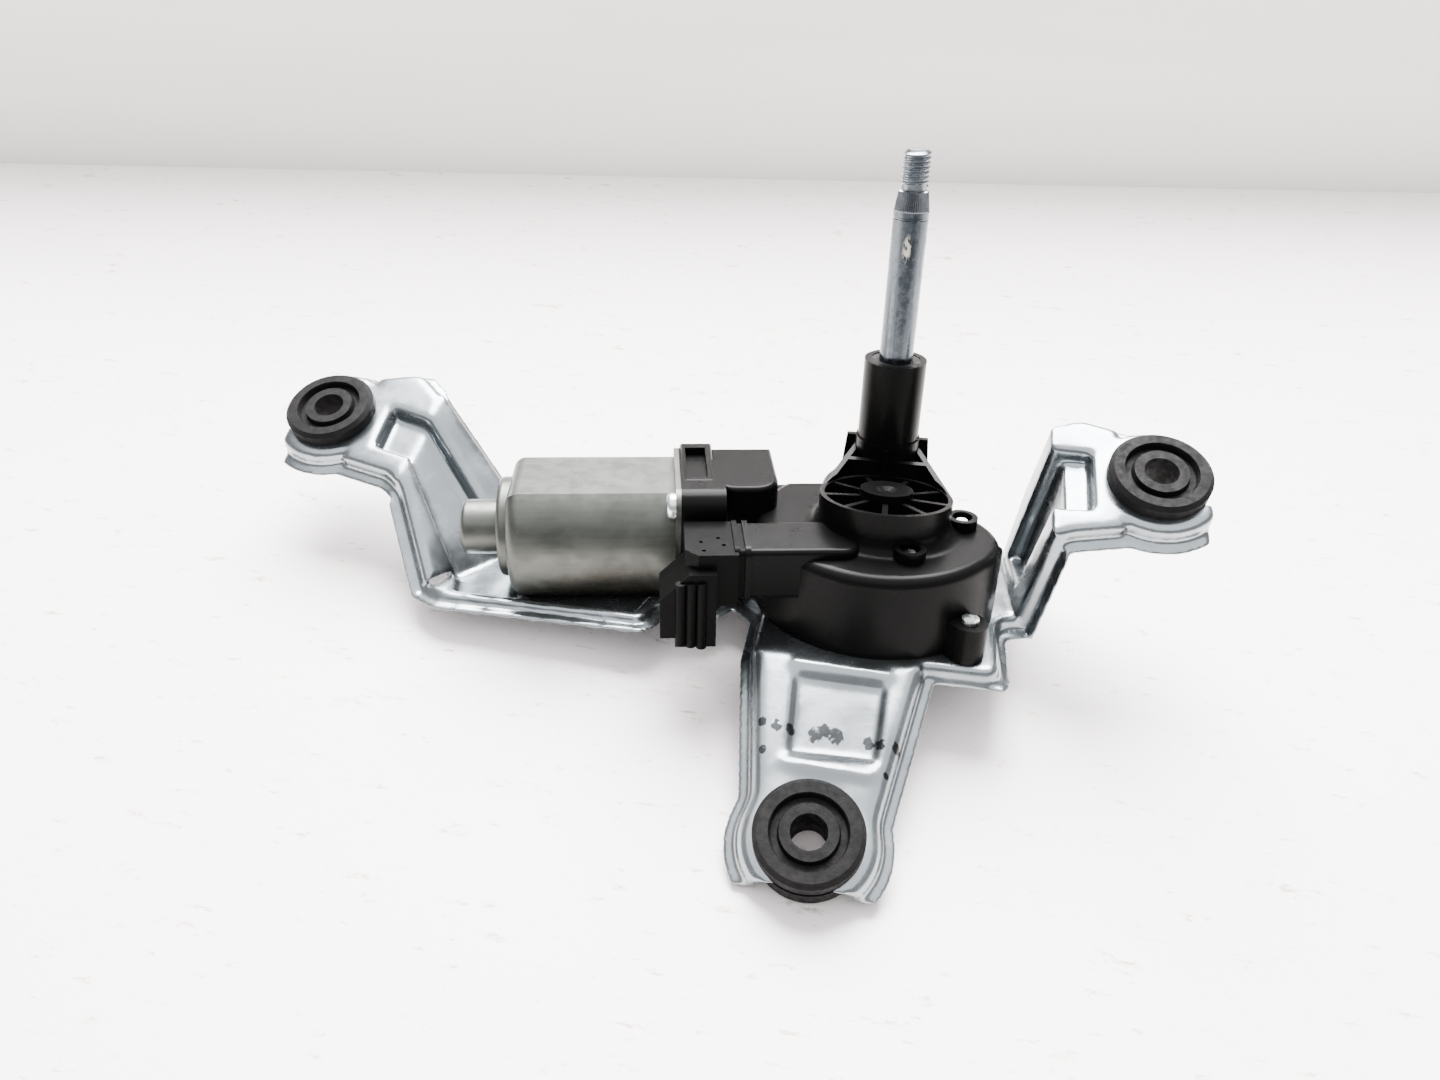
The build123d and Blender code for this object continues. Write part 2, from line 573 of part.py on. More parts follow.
def make_cover():
    cover = extrude(body_outline(rabbet + seat_gap), amount=cover_thickness)
    for x, y in cover_screw_spots:
        cover -= Pos(x, y, 0) * rod(cover_screw_radius + seat_gap, 0, cover_thickness)
        cover -= Pos(x, y, 0) * rod(cover_head_radius + seat_gap, 0, cover_head_height)
    return cover - Pos(0, -center_distance, 0) * rod(axle_radius, cover_thickness / 2, cover_thickness)


def make_gasket():
    strip = body_outline(rabbet + seat_gap) - body_outline(wall)
    return Pos(0, 0, cover_thickness) * extrude(strip, amount=gasket_thickness)


def make_cover_screws():
    tip = boss_top - boss_recess / 2
    return [Pos(x, y, 0) * (rod(cover_screw_radius, 0, tip) + rod(cover_head_radius, 0, cover_head_height))
            for x, y in cover_screw_spots]


def make_mounting_screws():
    head = rod(screw_head_radius, -sheet - screw_head_height, -sheet)
    head = fillet(head.edges().sort_by(Axis.Z)[0], 1.0)
    screw = head + rod(screw_radius, -sheet - 1, ear_top + screw_tip)
    return [Pos(x, y, 0) * screw for (x, y), _ in ears]


def make_flange_screws():
    head = rod(flange_head_radius, -flange_head_height, 0)
    head = fillet(head.edges().sort_by(Axis.Z)[0], 1.6)
    screw = head + rod(flange_screw_radius, -1, flange_screw_end - can_front)
    return [along_motor(can_front, y, z) * screw for y, z, _ in flange_posts[:2]]


# Wheel axle and output shaft

axle_top = body_top + 1.5


def make_axle():
    return Pos(0, -center_distance, 0) * rod(axle_radius, cover_thickness / 2, axle_top)


def make_wheel_washer():
    bottom = cover_thickness
    return Pos(0, -center_distance, 0) * tube(washer_radius, axle_radius + running_gap, bottom,
                                              bottom + washer_thickness)


def make_output_shaft():
    """The shaft with its clip groove, relief groove, cone for the arm and threaded end."""
    edge = 0.6
    profile = Polygon((0, shaft_bottom), (shaft_radius - edge, shaft_bottom), (shaft_radius, shaft_bottom + edge),
                      (shaft_radius, clip_bottom), (clip_groove, clip_bottom),
                      (clip_groove, clip_bottom + clip_thickness), (shaft_radius, clip_bottom + clip_thickness),
                      (shaft_radius, relief_height - 0.3), (shaft_radius - 0.2, relief_height - 0.3),
                      (shaft_radius - 0.2, relief_height + 0.3), (shaft_radius, relief_height + 0.3),
                      (shaft_radius, cone_bottom), (cone_small_radius, cone_top), (thread_root, cone_top),
                      (thread_root, thread_bottom), (thread_radius, thread_bottom + edge),
                      (thread_radius, shaft_top - edge), (thread_radius - edge, shaft_top), (0, shaft_top),
                      align=None)
    return revolve(Plane.XZ * profile, Axis.Z)


def make_output_gear():
    mesh_turn = 90 - 180 / output_teeth * (1 - output_teeth % 2) - 180
    gear = involute_gear(gear_module, output_teeth, gear_top - gear_bottom, shaft_radius, turn=mesh_turn)
    return Pos(0, 0, gear_bottom) * gear


def make_clip():
    clip = tube(clip_radius, clip_groove, clip_bottom, clip_bottom + clip_thickness)
    return clip - slab(-1.5, 1.5, 0, clip_radius, clip_bottom, clip_bottom + clip_thickness)


def make_bush(bottom):
    return tube(bush_radius, shaft_radius + running_gap, bottom, bottom + bush_length)


def make_seal():
    return tube(seal_radius, shaft_radius + bearing_clearance, seal_bottom, seal_top)


def make_thrust_washer():
    return tube(thrust_washer_radius, shaft_radius + bearing_clearance, ceiling - thrust_washer_thickness, ceiling)


# Motor

def can_sketch(inset=0.0):
    return Circle(can_radius - inset) & Rectangle(2 * (can_flat - inset), 2 * can_radius)


def make_motor_can():
    """A deep-drawn can with two flats, a stepped end and a nozzle for the rear bearing."""
    length = can_front - can_rear
    can = extrude(can_sketch(), amount=length)
    can = fillet(can.edges().group_by(Axis.Z)[0], can_shoulder)
    nozzle = rod(nozzle_radius, nozzle_rear - can_rear, can_wall)
    nozzle = fillet(nozzle.edges().sort_by(Axis.Z)[0], nozzle_edge)
    cap = rod(cap_radius, cap_rear - can_rear, can_wall)
    cap = fillet(cap.edges().sort_by(Axis.Z)[0], nozzle_edge)
    can += [cap, nozzle]
    can -= Pos(0, 0, can_wall) * extrude(can_sketch(can_wall), amount=length)
    can -= rod(cap_radius - can_wall, cap_rear - can_rear + can_wall, length)
    can -= rod(nozzle_radius - can_wall, nozzle_rear - can_rear + can_wall, length)
    can = along_motor(can_rear, worm_offset, worm_height) * can
    flange = extrude(along_motor(can_front, 0, 0) * flange_sketch(), amount=flange_thickness)
    flange -= motor_bore(brush_bore, can_front, 0)
    for y, z, _ in flange_posts[:2]:
        flange -= along_motor(can_front, y, z) * rod(flange_screw_radius + seat_gap, 0, flange_thickness)
    return can + flange


def make_magnets():
    inner = can_wall + 0.05
    ring = can_sketch(inner) - Circle(magnet_inner)
    reach = 2 * can_radius
    half = reach * tan(radians(magnet_half_angle))
    wedge = Polygon((0, 0), (half, reach), (-half, reach), align=None)
    magnets = []
    for side in (0, 180):
        sector = ring & Rot(0, 0, side) * wedge
        magnet = extrude(sector, amount=rotor_front - rotor_rear + 2)
        magnets.append(along_motor(rotor_rear - 1, worm_offset, worm_height) * magnet)
    return magnets


def make_armature_shaft():
    return motor_bore(motor_shaft_radius, shaft_rear, shaft_front)


def make_worm():
    length = worm_front - worm_rear
    worm = along_motor(worm_rear, worm_offset, worm_height) * tube(worm_radius, motor_shaft_radius, 0, length)
    return worm


def make_armature_core():
    face = Circle(rotor_radius) - Circle(motor_shaft_radius)
    for index in range(rotor_slots):
        slot = Pos((rotor_radius + slot_root) / 2, 0) * SlotOverall(rotor_radius - slot_root, slot_width)
        mouth = Pos(rotor_radius, 0) * Rectangle(3, slot_width / 3)
        face -= Rot(0, 0, 360 * index / rotor_slots) * (slot + mouth)
    return along_motor(rotor_rear, worm_offset, worm_height) * extrude(face, amount=rotor_front - rotor_rear)


def make_windings():
    """The two coil ends, just clear of the core's faces on the way round the shaft."""
    ends = []
    for start in (rotor_rear - winding_overhang, rotor_front):
        coil = tube(winding_outer, motor_shaft_radius + 1.5, 0, winding_overhang)
        coil = fillet(coil.edges().filter_by(GeomType.CIRCLE).sort_by(SortBy.RADIUS)[-2:], 1.5)
        ends.append(along_motor(start, worm_offset, worm_height) * coil)
    return ends


def make_commutator():
    length = commutator_front - commutator_rear
    drum = tube(commutator_radius, motor_shaft_radius, 0, length)
    for index in range(rotor_slots):
        cut = slab(commutator_radius - 0.5, commutator_radius + 1, -0.2, 0.2, 0, length)
        drum -= Rot(0, 0, 360 * index / rotor_slots) * cut
    return along_motor(commutator_rear, worm_offset, worm_height) * drum


def brush_place(side):
    """Local X points outwards from the commutator, through one of the two brushes."""
    return along_motor(brush_middle, worm_offset, worm_height) * Rot(0, 0, 90 + 180 * side)


def make_brushes():
    block = slab(brush_start, brush_end, -brush_width / 2, brush_width / 2, -brush_height / 2, brush_height / 2)
    return [brush_place(side) * block for side in (0, 1)]


def make_brush_springs():
    spring = Pos(brush_end, 0, 0) * Rot(0, 90, 0) * tube(spring_radius, spring_radius - 0.5, 0, spring_end - brush_end)
    return [brush_place(side) * spring for side in (0, 1)]


def make_brush_holder():
    """A round card behind the commutator with a box guide for each brush."""
    gap = 0.2
    card = motor_bore(brush_bore, holder_rear, holder_front) - motor_bore(holder_bore, holder_rear, holder_front)
    guide_start, guide_end = brush_start + 1.2, brush_bore - 0.6
    half_w, half_h = brush_width / 2 + gap, brush_height / 2 + gap
    reach = holder_front - brush_middle
    for side in (0, 1):
        guide = slab(guide_start, guide_end, -half_w - 1, half_w + 1, -half_h - 1, reach)
        guide -= slab(guide_start - 1, spring_end, -half_w, half_w, -half_h, half_h)
        card += brush_place(side) * guide
    return card & motor_bore(brush_bore, can_front, holder_front)


def make_bearing(radius, start, end):
    shaft = motor_shaft_radius + running_gap
    return motor_bore(radius, start, end) - motor_bore(shaft, start, end)


# Electronics and plug

def make_collar(start, end):
    """A raised band round the spout."""
    band = slab(start, end, spout_front - collar_rise, spout_back + collar_rise,
                spout_bottom - collar_rise, spout_top + collar_rise)
    return fillet(band.edges().filter_by(Axis.X), spout_edge + collar_rise)


def make_plug_housing():
    """The plug's hood at the end of the spout, with its mouth facing down."""
    start = spout_left - collar_length
    body = make_collar(start, start + collar_width)
    sleeve = slab(start, spout_left, spout_front, spout_back, spout_bottom, spout_top)
    body += fillet(sleeve.edges().filter_by(Axis.X), spout_edge)
    neck = slab(plug_left, start + 1, plug_front, plug_back, cavity_low, spout_top)
    body += chamfer(neck.edges().filter_by(Axis.Z).group_by(Axis.X)[0].sort_by(Axis.Y)[0], plug_corner)
    hood = slab(hood_left, hood_right, hood_front, hood_back, hood_bottom, hood_top)
    hood -= slab(hood_left, hood_left + rib_start - rib_radius, hood_front, hood_back, hood_bottom, hood_step)
    body += chamfer(hood.edges().filter_by(Axis.Y).group_by(Axis.X)[0].sort_by(Axis.Z)[-1], hood_slant)
    for index in range(3):
        place = Pos(hood_left + rib_start + rib_pitch * index, hood_front, 0)
        body += place * rod(rib_radius, hood_bottom + (2 - index) / 2, rib_top)
    for left, height in [(hood_left, cavity_low), (plug_left, cavity_high)]:
        body -= slab(left + hood_wall, hood_right - hood_wall, hood_front + hood_wall, hood_back - hood_wall,
                     hood_bottom, height)
    hole = terminal_size / 2 + 0.05
    for x, y in terminal_spots:
        body -= slab(x - hole, x + hole, y - hole, y + hole, hood_bottom, terminal_top)
    for x, y in vent_spots:
        body -= Pos(x, y, 0) * rod(vent_radius, spout_top - vent_depth, spout_top)
    return at_motor(0, 0, 0) * body


def make_terminals():
    half = terminal_size / 2
    return [at_motor(x, y, 0) * slab(-half, half, -half, half, terminal_bottom, terminal_top)
            for x, y in terminal_spots]


def make_circuit_board():
    edge = spout_wall + 0.2
    board = slab(spout_left + 0.5, board_right, spout_front + edge, spout_back - edge, board_height,
                 board_height + board_thickness)
    chip = slab(-34, -26, -20, -12, board_height + board_thickness, board_height + board_thickness + 1.6)
    capacitor = Pos(-38, -12, 0) * rod(2.2, board_height + board_thickness, board_height + 6)
    return at_motor(0, 0, 0) * (board + chip + capacitor)


# Assembly

nodes = {
    "bracket": make_bracket(),
    "grommet_left": make_grommet(left_tab),
    "grommet_right": make_grommet(right_tab),
    "grommet_front": make_grommet(front_tab),
    "gear_housing": make_gear_housing(),
    "bottom_cover": make_cover(),
    "cover_gasket": make_gasket(),
    "cover_screws": make_cover_screws(),
    "mounting_screws": make_mounting_screws(),
    "flange_screws": make_flange_screws(),
    "motor_can": make_motor_can(),
    "magnets": make_magnets(),
    "rear_bearing": make_bearing(nozzle_radius - can_wall, nozzle_rear + can_wall, rear_bearing_front),
    "front_bearing": make_bearing(front_bearing_radius, front_bearing_rear, front_bearing_front),
    "worm_end_bearing": make_bearing(end_bearing_radius, end_bearing_rear, end_bearing_front),
    "brush_holder": make_brush_holder(),
    "brushes": make_brushes(),
    "brush_springs": make_brush_springs(),
    "armature_shaft": make_armature_shaft(),
    "armature_core": make_armature_core(),
    "armature_windings": make_windings(),
    "commutator": make_commutator(),
    "worm": make_worm(),
    "worm_wheel": make_wheel(),
    "wheel_axle": make_axle(),
    "wheel_washer": make_wheel_washer(),
    "output_shaft": make_output_shaft(),
    "output_gear": make_output_gear(),
    "retaining_clip": make_clip(),
    "thrust_washer": make_thrust_washer(),
    "lower_bush": make_bush(lower_bush_bottom),
    "upper_bush": make_bush(upper_bush_top - bush_length),
    "shaft_seal": make_seal(),
    "plug_housing": make_plug_housing(),
    "terminals": make_terminals(),
    "circuit_board": make_circuit_board(),
}

# The assembly rests on the lowest edge of the front grommet and on two rear points of the bracket.
left_rest = Vector(-108, -6.6, -panel_depth)
right_rest = Vector(-34, 12.5, -panel_depth)
lowest_edge = Vector(0, grommet_edge - grommet_radius, -sheet - grommet_bottom)
front_rest = front_tab.from_local_coords(lowest_edge)
ground_up = (right_rest - front_rest).cross(left_rest - front_rest).normalized()
ground_x = (Vector(1, 0, 0) - ground_up * ground_up.X).normalized()
laid = Plane(origin=front_rest, x_dir=ground_x, z_dir=ground_up).location.inverse()
solids = {name: Compound([laid * piece for piece in (shape if isinstance(shape, list) else [shape])])
          for name, shape in nodes.items()}
box = Compound(list(solids.values())).bounding_box()
placed = Pos(-(box.min.X + box.max.X) / 2, -(box.min.Y + box.max.Y) / 2, -box.min.Z) * laid

for name, shape in nodes.items():
    pieces = shape if isinstance(shape, list) else [shape]
    export_step(Compound([placed * piece for piece in pieces]), f"parts/{name}.step")
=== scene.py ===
import json
import math

import bpy
from mathutils import Matrix, Vector
from mathutils.bvhtree import BVHTree


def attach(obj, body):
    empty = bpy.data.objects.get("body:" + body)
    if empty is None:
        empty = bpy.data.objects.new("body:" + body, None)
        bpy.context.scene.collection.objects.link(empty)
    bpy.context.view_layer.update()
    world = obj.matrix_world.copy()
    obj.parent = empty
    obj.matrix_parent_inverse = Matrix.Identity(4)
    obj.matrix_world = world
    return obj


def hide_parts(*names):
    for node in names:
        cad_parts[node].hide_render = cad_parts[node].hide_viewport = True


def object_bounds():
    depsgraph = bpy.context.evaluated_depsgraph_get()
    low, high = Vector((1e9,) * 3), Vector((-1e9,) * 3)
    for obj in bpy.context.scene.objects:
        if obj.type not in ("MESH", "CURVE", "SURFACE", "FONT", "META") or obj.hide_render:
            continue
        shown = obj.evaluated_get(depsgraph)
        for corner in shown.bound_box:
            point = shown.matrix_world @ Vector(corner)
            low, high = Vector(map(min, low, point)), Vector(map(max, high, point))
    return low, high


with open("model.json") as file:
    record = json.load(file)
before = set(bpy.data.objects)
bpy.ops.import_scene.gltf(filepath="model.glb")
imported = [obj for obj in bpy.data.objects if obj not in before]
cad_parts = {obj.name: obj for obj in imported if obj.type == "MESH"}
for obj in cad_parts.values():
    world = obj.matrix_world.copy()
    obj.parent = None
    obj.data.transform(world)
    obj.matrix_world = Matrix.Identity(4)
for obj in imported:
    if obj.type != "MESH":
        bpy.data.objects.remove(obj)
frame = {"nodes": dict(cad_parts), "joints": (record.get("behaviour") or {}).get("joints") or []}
cadLow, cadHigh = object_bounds()
print("frame loaded")

# Everything below is drawn about the output shaft: z up the shaft from the bracket's face, x along the
# bracket's front edge. The joints say where that frame sits in the finished part. The motor's own frame
# is turned about the same axis, with x along the armature.
joints = {joint["name"]: joint for joint in frame["joints"]}
shaftUp = Vector(joints["shaft_sweep"]["axis"])
motorAlong = Vector(joints["armature_spin"]["axis"])
motorSide = shaftUp.cross(motorAlong)
motorYaw = math.radians(13.3)
motorOffset = -0.0256
towerTop = 0.0665
alongX = math.cos(motorYaw) * motorAlong - math.sin(motorYaw) * motorSide
partFrame = Matrix((alongX, shaftUp.cross(alongX), shaftUp)).transposed().to_4x4()
partFrame.translation = Vector(joints["shaft_sweep"]["pos_m"]) - towerTop * shaftUp
motorFrame = partFrame @ Matrix.Translation((0, motorOffset, 0)) @ Matrix.Rotation(motorYaw, 4, "Z")


class Wire:
    # a number, colour or vector inside one material
    def __init__(self, finish, socket):
        self.finish = finish
        self.socket = socket

    def combine(self, operation, first, second):
        return self.finish.node("ShaderNodeMath", {"operation": operation}, {0: first, 1: second})

    def __add__(self, other):
        return self.combine("ADD", self, other)

    def __radd__(self, other):
        return self.combine("ADD", other, self)

    def __sub__(self, other):
        return self.combine("SUBTRACT", self, other)

    def __rsub__(self, other):
        return self.combine("SUBTRACT", other, self)

    def __mul__(self, other):
        return self.combine("MULTIPLY", self, other)

    def __rmul__(self, other):
        return self.combine("MULTIPLY", other, self)


class Finish:
    def __init__(self, name, base, roughness, metallic=0.0, **sockets):
        self.material = bpy.data.materials.new(name)
        self.material.use_nodes = True
        self.tree = self.material.node_tree
        self.shader = self.tree.nodes["Principled BSDF"]
        self.fill(self.shader.inputs["Base Color"], (*base, 1))
        self.fill(self.shader.inputs["Roughness"], roughness)
        self.fill(self.shader.inputs["Metallic"], metallic)
        for socket, value in sockets.items():
            self.fill(self.shader.inputs[socket.replace("_", " ")], value)
        coords = self.node("ShaderNodeTexCoord", {}, {}, "Object")
        self.inPart = self.turn(coords, partFrame)
        self.inMotor = self.turn(coords, motorFrame)

    def fill(self, socket, value):
        if isinstance(value, Wire):
            self.tree.links.new(value.socket, socket)
        else:
            socket.default_value = value

    def node(self, kind, settings, inputs, output=0):
        made = self.tree.nodes.new(kind)
        for key, value in settings.items():
            setattr(made, key, value)
        for key, value in inputs.items():
            self.fill(made.inputs[key], value)
        return Wire(self, made.outputs[output])

    def turn(self, coords, toFrame):
        # object coordinates to millimetres in another frame
        back = toFrame.inverted()
        settled = self.node("ShaderNodeMapping", {"vector_type": "POINT"},
                            {"Vector": coords, "Location": back.translation, "Rotation": back.to_euler()})
        return self.node("ShaderNodeVectorMath", {"operation": "SCALE"}, {0: settled, "Scale": 1000.0})

    def noise(self, size, detail=3.0, rough=0.55, stretch=(1, 1, 1), where=None):
        # fractal noise whose features are about size millimetres, stretched along the axes
        scale = [1 / (size * part) for part in stretch]
        spot = self.node("ShaderNodeMapping", {}, {"Vector": where or self.inPart, "Scale": scale})
        return self.node("ShaderNodeTexNoise", {}, {"Vector": spot, "Scale": 1.0, "Detail": detail,
                                                    "Roughness": rough})

    def ease(self, value, low, high, fromTo=(0.0, 1.0)):
        return self.node("ShaderNodeMapRange", {"interpolation_type": "SMOOTHSTEP"},
                         {"Value": value, "From Min": low, "From Max": high, "To Min": fromTo[0],
                          "To Max": fromTo[1]})

    def patch(self, centre, radii, where=None, soft=0.5):
        # 1 inside an ellipsoid in millimetres, fading to 0 at its edge
        spot = self.node("ShaderNodeMapping", {}, {"Vector": where or self.inPart,
                                                   "Scale": [1 / r for r in radii],
                                                   "Location": [-c / r for c, r in zip(centre, radii)]})
        far = self.node("ShaderNodeVectorMath", {"operation": "LENGTH"}, {0: spot}, "Value")
        return self.ease(far, 1.0, 1.0 - soft)

    def blend(self, factor, first, second):
        # sockets 6 and 7 of a Mix node are its two colours, and output 2 is the colour it gives
        return self.node("ShaderNodeMix", {"data_type": "RGBA"}, {"Factor": factor, 6: first, 7: second}, 2)

    def tint(self, colour):
        self.fill(self.shader.inputs["Base Color"], colour)
        return self

    def polish(self, roughness):
        self.fill(self.shader.inputs["Roughness"], roughness)
        return self

    def bump(self, height, strength, distance):
        inputs = {"Height": height, "Strength": strength, "Distance": distance}
        self.fill(self.shader.inputs["Normal"], self.node("ShaderNodeBump", {}, inputs))
        return self


# Zinc plated bracket: bright and slightly blue, with cloudy plating, fine rub marks, a darker patch over the
# front arm's panel and a row of dark scuffs across it
zincLook = {
    "base": (0.23, 0.25, 0.262), "dull": (0.14, 0.157, 0.167), "scuff": (0.006, 0.006, 0.007),
    "darkPanel": (0.13, 0.14, 0.148), "rub": (0.3, 0.32, 0.34),
    "roughness": 0.3, "polish": (0.19, 0.31), "metallic": 0.94,
    "panel": ((-5.5, -84, -12), (19, 24, 14)), "scuffLevel": -10,
    "smudges": [(-25.7, -82.9, 1.6), (-21.8, -83.7, 2.0), (-18.1, -83.7, 1.8), (-24.6, -90.2, 1.5),
                (-11.5, -83.6, 2.6), (-5.8, -83.2, 2.8), (-9.0, -82.0, 2.0), (2.9, -84.2, 2.3),
                (6.0, -85.1, 1.8), (10.3, -85.0, 1.7), (16.3, -83.0, 2.4), (8.1, -92.4, 1.4)],
}


def makeZinc():
    look = zincLook
    zinc = Finish("zincPlate", look["base"], look["roughness"], look["metallic"])
    cloud = zinc.ease(zinc.noise(26, 4), 0.35, 0.7)
    colour = zinc.blend(cloud * 0.55, (*look["base"], 1), (*look["dull"], 1))
    # darker zinc colour over the front arm's panel; only the colour changes, the roughness stays
    panel = zinc.patch(*look["panel"], soft=0.35)
    colour = zinc.blend(panel * 0.75, colour, (*look["darkPanel"], 1))
    rub = zinc.ease(zinc.noise(0.9, 2, stretch=(9, 1, 1)), 0.62, 0.75)
    colour = zinc.blend(rub * 0.18, colour, (*look["rub"], 1))
    ragged = (zinc.noise(1.1, 3, 0.6) - 0.5) * 5.0
    smudge = 0.0
    for x, y, size in look["smudges"]:
        mark = zinc.patch((x, y, look["scuffLevel"]), (1.2 * size, 1.3 * size, 12), soft=1.0)
        smudge = mark + smudge
    smear = zinc.ease(smudge * 1.4 + smudge * ragged, 0.42, 0.55)
    colour = zinc.blend(smear * 0.9, colour, (*look["scuff"], 1))
    zinc.tint(colour)
    zinc.polish(zinc.ease(zinc.noise(9, 3), 0.3, 0.75, look["polish"]))
    zinc.bump(zinc.noise(7, 3), 0.12, 0.0004)
    return zinc.material


# Moulded rubber: dark, matt, a little brown with dust
rubberLook = {"dust": (0.0095, 0.008, 0.0078), "roughness": 0.62, "polish": (0.5, 0.75), "gloss": 0.08}


def makeRubber(name, base):
    look = rubberLook
    rubber = Finish(name, base, look["roughness"], Specular_IOR_Level=look["gloss"])
    dust = rubber.ease(rubber.noise(4.5, 4, 0.65), 0.45, 0.75)
    rubber.tint(rubber.blend(dust * 0.6, (*base, 1), (*look["dust"], 1)))
    rubber.polish(rubber.ease(rubber.noise(2, 3), 0.3, 0.7, look["polish"]))
    rubber.bump(rubber.noise(0.5, 3), 0.25, 0.0003)
    return rubber.material


# Moulded plastic with a soft sheen, flow clouds and a little dust
plasticLook = {"dust": (0.2, 0.19, 0.18), "flowLift": 1.4}


def makePlastic(name, base, roughness, dustiness=0.005, gloss=0.038):
    look = plasticLook
    plastic = Finish(name, base, roughness, Specular_IOR_Level=gloss)
    flow = plastic.ease(plastic.noise(14, 4), 0.35, 0.7)
    dust = plastic.ease(plastic.noise(0.8, 3, 0.7), 0.63, 0.74)
    pale = [look["flowLift"] * part for part in base]
    colour = plastic.blend(flow * 0.5, (*base, 1), (*pale, 1))
    plastic.tint(plastic.blend(dust * dustiness, colour, (*look["dust"], 1)))
    plastic.polish(plastic.ease(plastic.noise(6, 4), 0.25, 0.75, (roughness - 0.01, roughness + 0.03)))
    plastic.bump(plastic.noise(0.45, 2), 0.05, 0.0002)
    return plastic.material


# Motor can: dull zinc over drawn steel, with streaks round it and darker brown patches low at the front
canLook = {"base": (0.07, 0.073, 0.066), "dull": (0.042, 0.046, 0.04), "lowBrown": (0.04, 0.024, 0.011),
           "drawn": (0.15, 0.155, 0.15), "fleck": (0.025, 0.022, 0.018), "roughness": 0.42,
           "polish": (0.34, 0.5), "metallic": 0.9, "lowBrownPatch": ((-78, -2, -2), (34, 22, 17))}


def makeCan():
    look = canLook
    can = Finish("canSteel", look["base"], look["roughness"], look["metallic"])
    drawn = can.ease(can.noise(1.2, 3, stretch=(14, 1, 1), where=can.inMotor), 0.35, 0.7)
    cloud = can.ease(can.noise(11, 4, where=can.inMotor), 0.35, 0.7)
    colour = can.blend(cloud * 0.6, (*look["base"], 1), (*look["dull"], 1))
    colour = can.blend(drawn * 0.08, colour, (*look["drawn"], 1))
    # darker brown colour over the can's lower front, broken into patches by noise
    low = can.patch(*look["lowBrownPatch"], where=can.inMotor, soft=0.9)
    patchy = can.ease(can.noise(5, 5, 0.65, where=can.inMotor), 0.3, 0.65)
    colour = can.blend(low * patchy * 0.75, colour, (*look["lowBrown"], 1))
    fleck = can.ease(can.noise(0.7, 3, 0.6, where=can.inMotor), 0.66, 0.74)
    colour = can.blend(fleck * 0.35, colour, (*look["fleck"], 1))
    can.tint(colour)
    can.polish(can.ease(can.noise(5, 4, where=can.inMotor), 0.3, 0.75, look["polish"]))
    can.bump(can.noise(9, 3, where=can.inMotor), 0.1, 0.0004)
    return can.material


# Output shaft: blue-grey ground steel, rubbed lengthwise, a pale chip halfway up, lighter at the knurl and
# at the thread
shaftColours = {"base": (0.085, 0.098, 0.11), "dark": (0.04, 0.047, 0.056), "worn": (0.13, 0.142, 0.15),
                "chip": (0.5, 0.48, 0.41), "knurl": (0.3, 0.31, 0.33), "thread": (0.24, 0.26, 0.28),
                "roughness": 0.22, "polish": (0.16, 0.36), "chipSpot": ((-0.2, -5.0, 100.0), (1.5, 2.0, 4.6)),
                "knurlSpot": ((0, 0, 112.4), (14, 14, 3.0)), "threadSpot": ((0, 0, 122), (14, 14, 7))}


def makeShaftFinish():
    look = shaftColours
    steel = Finish("shaftGround", look["base"], look["roughness"], 1.0)
    line = steel.ease(steel.noise(0.9, 3, stretch=(1, 1, 60)), 0.4, 0.68)
    worn = steel.ease(steel.noise(2.4, 4, stretch=(1, 1, 16)), 0.42, 0.62)
    colour = steel.blend(line * 0.55, (*look["base"], 1), (*look["dark"], 1))
    colour = steel.blend(worn * 0.3, colour, (*look["worn"], 1))
    spot = steel.patch(*look["chipSpot"], soft=0.6)
    torn = steel.ease(steel.noise(1.3, 4, 0.7, stretch=(1, 1, 2.2)), 0.47, 0.53)
    chip = spot * torn
    colour = steel.blend(chip, colour, (*look["chip"], 1))
    band = steel.patch(*look["knurlSpot"], soft=0.1)
    colour = steel.blend(band * 0.8, colour, (*look["knurl"], 1))
    tip = steel.patch(*look["threadSpot"], soft=0.1)
    colour = steel.blend(tip * 0.8, colour, (*look["thread"], 1))
    steel.tint(colour)
    steel.polish(steel.ease(steel.noise(2.4, 4), 0.3, 0.75, look["polish"]) + chip * 0.3)
    steel.bump(steel.noise(0.5, 2, stretch=(1, 1, 20)), 0.1, 0.0002)
    return steel.material


# Machined and plated metals of the small parts, with tool marks up the shaft's axis
metalLook = {"grain": (1, 1, 12), "size": 0.5, "darker": 0.72}


def makeMetal(name, base, roughness):
    look = metalLook
    metal = Finish(name, base, roughness, 1.0)
    line = metal.ease(metal.noise(look["size"], 3, stretch=look["grain"]), 0.35, 0.7)
    cloud = metal.ease(metal.noise(6, 4), 0.4, 0.7)
    dark = [look["darker"] * part for part in base]
    colour = metal.blend(line * 0.45, (*base, 1), (*dark, 1))
    colour = metal.blend(cloud * 0.35, colour, (*dark, 1))
    metal.tint(colour)
    metal.polish(metal.ease(metal.noise(3, 3), 0.3, 0.75, (roughness - 0.08, roughness + 0.12)))
    metal.bump(metal.noise(look["size"], 2, stretch=look["grain"]), 0.08, 0.0002)
    return metal.material


